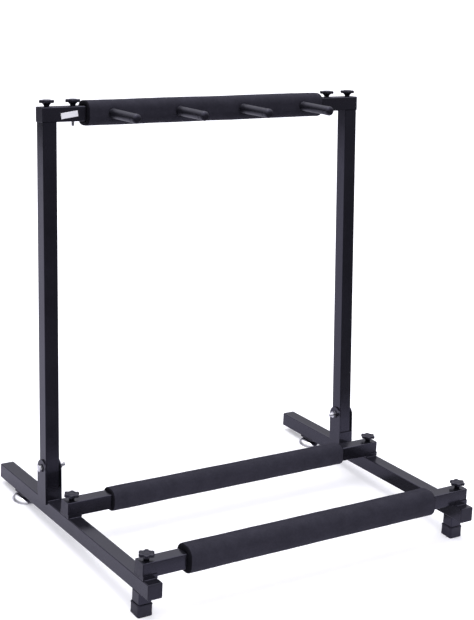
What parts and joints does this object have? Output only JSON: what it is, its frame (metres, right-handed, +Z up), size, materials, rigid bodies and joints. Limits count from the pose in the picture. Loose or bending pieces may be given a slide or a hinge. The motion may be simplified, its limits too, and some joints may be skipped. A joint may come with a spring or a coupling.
{
  "type": "guitar rack",
  "caption": "Folding guitar rack with square steel legs and uprights, foam-padded bars, neck fingers, star knobs and levelling feet.",
  "frame": {"origin": "on the floor, below the middle of the two base legs", "axes": "+X to the viewer's right along the bars, front towards -Y, +Z up"},
  "size_m": [0.62, 0.504, 0.6679],
  "materials": {
    "powder_coat": "satin black powder coat with fine orange peel",
    "foam": "matte black closed-cell foam",
    "finger_rubber": "satin black soft sleeve",
    "knob_plastic": "moulded black plastic",
    "plug_plastic": "moulded black plastic",
    "cap_rubber": "matte black rubber",
    "chrome": "polished chrome",
    "zinc_steel": "bright zinc plating",
    "label_film": "plain white film with no print"
  },
  "bodies": {
    "base": {"front_bar_foam": "foam", "front_bar_saddles": "powder_coat", "front_lower_bar": "powder_coat", "glide_pads": "plug_plastic", "glide_studs": "zinc_steel", "hinge_bolts": "zinc_steel", "hinge_nuts": "zinc_steel", "hinge_washers": "plug_plastic", "left_base_leg": "powder_coat", "left_foot_cap": "cap_rubber", "left_front_post": "powder_coat", "left_hinge_bracket": "powder_coat", "leg_front_plugs": "plug_plastic", "leg_rear_plugs": "plug_plastic", "lower_bar_plugs": "plug_plastic", "rear_bar_foam": "foam", "rear_bar_saddles": "powder_coat", "rear_lower_bar": "powder_coat", "right_base_leg": "powder_coat", "right_foot_cap": "cap_rubber", "right_front_post": "powder_coat", "right_hinge_bracket": "powder_coat", "weld_nuts": "zinc_steel"},
    "upper_frame": {"blank_label": "label_film", "finger_pins": "zinc_steel", "left_top_end_tube": "powder_coat", "left_upright": "powder_coat", "neck_finger_1": "finger_rubber", "neck_finger_2": "finger_rubber", "neck_finger_3": "finger_rubber", "neck_finger_4": "finger_rubber", "rail_connectors": "powder_coat", "rail_nuts": "zinc_steel", "right_top_end_tube": "powder_coat", "right_upright": "powder_coat", "top_bar_foam": "foam", "top_end_plugs": "plug_plastic", "top_rail": "powder_coat", "upright_bushes": "plug_plastic", "upright_inserts": "plug_plastic", "upright_plugs": "plug_plastic"},
    "left_rear_bar_knob": {"left_rear_bar_knob": "knob_plastic", "left_rear_bar_stud": "zinc_steel"},
    "left_front_bar_knob": {"left_front_bar_knob": "knob_plastic", "left_front_bar_stud": "zinc_steel"},
    "left_top_outer_knob": {"left_top_outer_knob": "knob_plastic", "left_top_outer_stud": "zinc_steel"},
    "left_top_inner_knob": {"left_top_inner_knob": "knob_plastic", "left_top_inner_stud": "zinc_steel"},
    "left_glide": {"left_rear_glide": "chrome"},
    "right_rear_bar_knob": {"right_rear_bar_knob": "knob_plastic", "right_rear_bar_stud": "zinc_steel"},
    "right_front_bar_knob": {"right_front_bar_knob": "knob_plastic", "right_front_bar_stud": "zinc_steel"},
    "right_top_outer_knob": {"right_top_outer_knob": "knob_plastic", "right_top_outer_stud": "zinc_steel"},
    "right_top_inner_knob": {"right_top_inner_knob": "knob_plastic", "right_top_inner_stud": "zinc_steel"},
    "right_glide": {"right_rear_glide": "chrome"}
  },
  "joints": [
    {"name": "fold", "type": "hinge", "parent": "base", "child": "upper_frame", "pos_m": [0, 0.09368, 0.09171], "axis": [1, 0, 0], "range_deg": [0, 93]},
    {"name": "left_rear_bar_turn", "type": "hinge", "parent": "base", "child": "left_rear_bar_knob", "pos_m": [-0.288, 0.01315, 0.07101], "axis": [0, 0.0576, 0.9983], "continuous": true},
    {"name": "left_front_bar_turn", "type": "hinge", "parent": "base", "child": "left_front_bar_knob", "pos_m": [-0.288, -0.22126, 0.08452], "axis": [0, 0.0576, 0.9983], "continuous": true},
    {"name": "left_top_outer_turn", "type": "hinge", "parent": "upper_frame", "child": "left_top_outer_knob", "pos_m": [-0.288, 0.16499, 0.65622], "axis": [0, 0.1253, 0.9921], "continuous": true},
    {"name": "left_top_inner_turn", "type": "hinge", "parent": "upper_frame", "child": "left_top_inner_knob", "pos_m": [-0.2435, 0.16499, 0.65622], "axis": [0, 0.1253, 0.9921], "continuous": true},
    {"name": "left_glide_turn", "type": "hinge", "parent": "base", "child": "left_glide", "pos_m": [-0.288, 0.17453, 0.0053], "axis": [0, 0, 1], "continuous": true},
    {"name": "right_rear_bar_turn", "type": "hinge", "parent": "base", "child": "right_rear_bar_knob", "pos_m": [0.288, 0.01315, 0.07101], "axis": [0, 0.0576, 0.9983], "continuous": true},
    {"name": "right_front_bar_turn", "type": "hinge", "parent": "base", "child": "right_front_bar_knob", "pos_m": [0.288, -0.22126, 0.08452], "axis": [0, 0.0576, 0.9983], "continuous": true},
    {"name": "right_top_outer_turn", "type": "hinge", "parent": "upper_frame", "child": "right_top_outer_knob", "pos_m": [0.288, 0.16499, 0.65622], "axis": [0, 0.1253, 0.9921], "continuous": true},
    {"name": "right_top_inner_turn", "type": "hinge", "parent": "upper_frame", "child": "right_top_inner_knob", "pos_m": [0.2435, 0.16499, 0.65622], "axis": [0, 0.1253, 0.9921], "continuous": true},
    {"name": "right_glide_turn", "type": "hinge", "parent": "base", "child": "right_glide", "pos_m": [0.288, 0.17453, 0.0053], "axis": [0, 0, 1], "continuous": true}
  ]
}
